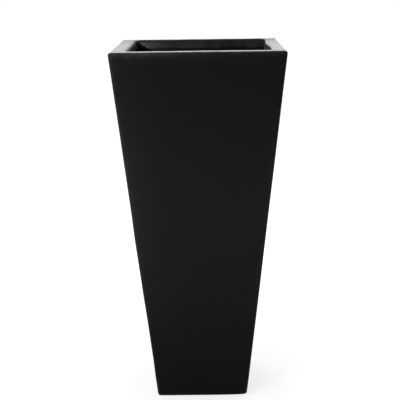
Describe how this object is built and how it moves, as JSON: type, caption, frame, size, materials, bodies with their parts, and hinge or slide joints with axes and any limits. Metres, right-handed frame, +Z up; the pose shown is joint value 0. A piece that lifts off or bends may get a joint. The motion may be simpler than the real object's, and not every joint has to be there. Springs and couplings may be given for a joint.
{
  "type": "tapered planter",
  "caption": "Tall square tapered planter cast in dark fibre-reinforced concrete, with a thick lip, a drain hole in the floor and a rubber plug that lifts out.",
  "frame": {"origin": "middle of the square footprint, on the ground", "axes": "+Z up the planter's own axis towards the mouth; X and Y square to the walls, with the side that the picture shows at -Y"},
  "size_m": [0.329, 0.329, 0.713],
  "materials": {
    "concrete": "satin",
    "fibre_mesh": "matte",
    "rubber": "matte"
  },
  "bodies": {
    "planter": {"planter_shell": "concrete", "fibre_mesh_front": "fibre_mesh", "fibre_mesh_right": "fibre_mesh", "fibre_mesh_back": "fibre_mesh", "fibre_mesh_left": "fibre_mesh", "fibre_mesh_floor": "fibre_mesh", "corner_tape_front_right": "fibre_mesh", "corner_tape_back_right": "fibre_mesh", "corner_tape_back_left": "fibre_mesh", "corner_tape_front_left": "fibre_mesh"},
    "plug": {"drain_plug": "rubber"}
  },
  "joints": [
    {"name": "plug_lift", "type": "slide", "parent": "planter", "child": "plug", "axis": [0, 0, 1], "range_m": [0, 0.72]}
  ]
}
